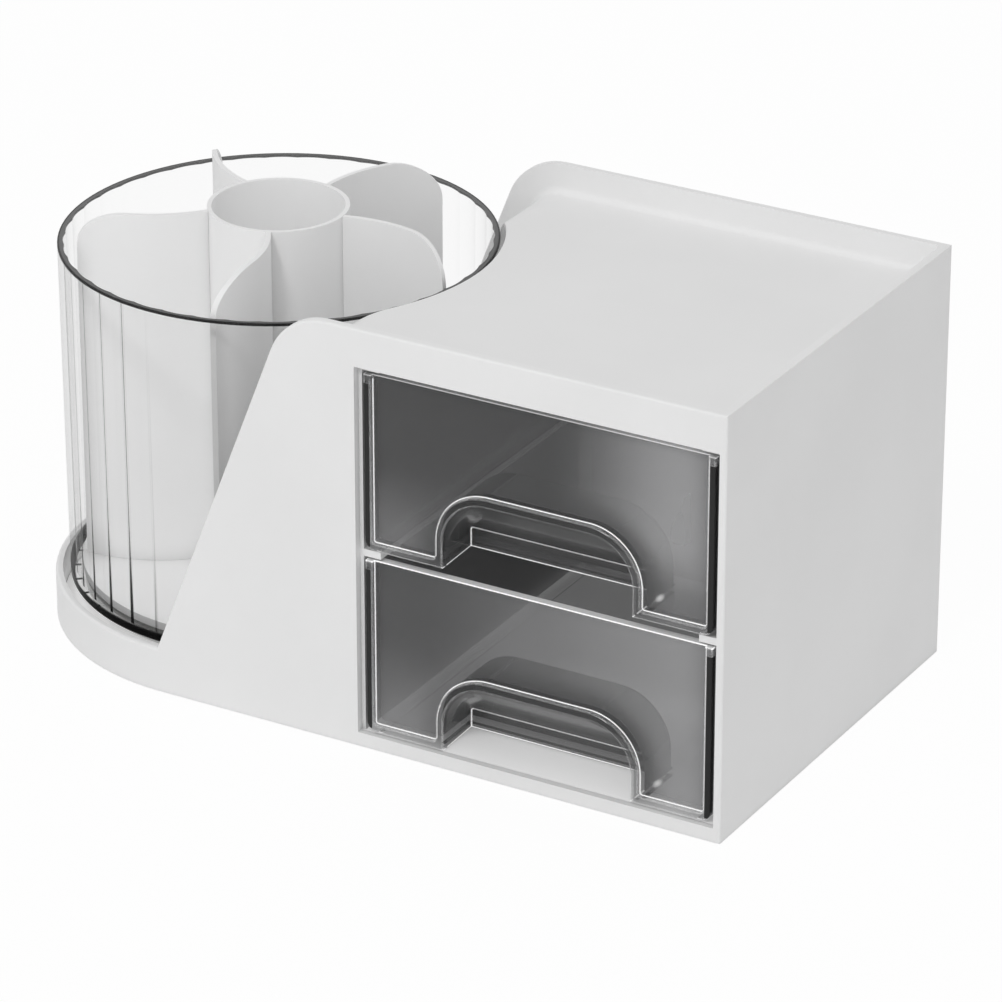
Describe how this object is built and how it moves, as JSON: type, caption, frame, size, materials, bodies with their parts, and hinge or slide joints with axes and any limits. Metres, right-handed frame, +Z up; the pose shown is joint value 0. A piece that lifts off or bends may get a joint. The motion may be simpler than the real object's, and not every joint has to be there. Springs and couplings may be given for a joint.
{
  "type": "rotating desk organizer with drawers",
  "caption": "Desk organizer: a clear ribbed cup with a pinwheel divider spins on a ball ring beside a white cabinet with smoked drawers and a sunken top tray.",
  "frame": {"origin": "centre of the footprint, on the surface that the feet stand on", "axes": "+X from the cup towards the drawer cabinet, -Y towards the drawer fronts, +Z up"},
  "size_m": [0.2332, 0.1264, 0.1204],
  "materials": {
    "white_plastic": "fine satin moulding texture",
    "divider_plastic": "smooth satin",
    "smoked_plastic": "smoked translucent, polished",
    "clear_plastic": "clear, polished",
    "bearing_plastic": "natural, smooth",
    "steel": "zinc-plated or polished",
    "foot_rubber": "matt"
  },
  "bodies": {
    "base": {"housing": "white_plastic", "bottom_plate": "white_plastic", "plate_screws": "steel", "lower_race": "bearing_plastic", "race_screws": "steel", "pivot_washer": "steel", "pivot_screw": "steel", "foot_right_front": "foot_rubber", "foot_right_back": "foot_rubber", "foot_middle_front": "foot_rubber", "foot_middle_back": "foot_rubber", "foot_left": "foot_rubber"},
    "ball_ring": {"ball_cage": "bearing_plastic", "bearing_balls": "steel"},
    "turntable": {"turntable_disc": "bearing_plastic", "cup": "clear_plastic", "cup_screws": "steel", "divider_core": "divider_plastic", "divider_vane_1": "divider_plastic", "divider_vane_2": "divider_plastic", "divider_vane_3": "divider_plastic", "divider_vane_4": "divider_plastic", "divider_vane_5": "divider_plastic"},
    "upper_drawer": {"upper_drawer": "smoked_plastic"},
    "lower_drawer": {"lower_drawer": "smoked_plastic"}
  },
  "joints": [
    {"name": "cup_spin", "type": "hinge", "parent": "base", "child": "turntable", "pos_m": [-0.0534, 0, 0.0124], "axis": [0, 0, 1], "continuous": true},
    {"name": "ball_ring_spin", "type": "hinge", "parent": "base", "child": "ball_ring", "pos_m": [-0.0534, 0, 0.0085], "axis": [0, 0, 1], "continuous": true},
    {"name": "upper_drawer_slide", "type": "slide", "parent": "base", "child": "upper_drawer", "axis": [0, -1, 0], "range_m": [0, 0.095]},
    {"name": "lower_drawer_slide", "type": "slide", "parent": "base", "child": "lower_drawer", "axis": [0, -1, 0], "range_m": [0, 0.095]}
  ],
  "couplings": [
    {"joint": "ball_ring_spin", "follows": "cup_spin", "ratio": 0.5}
  ]
}
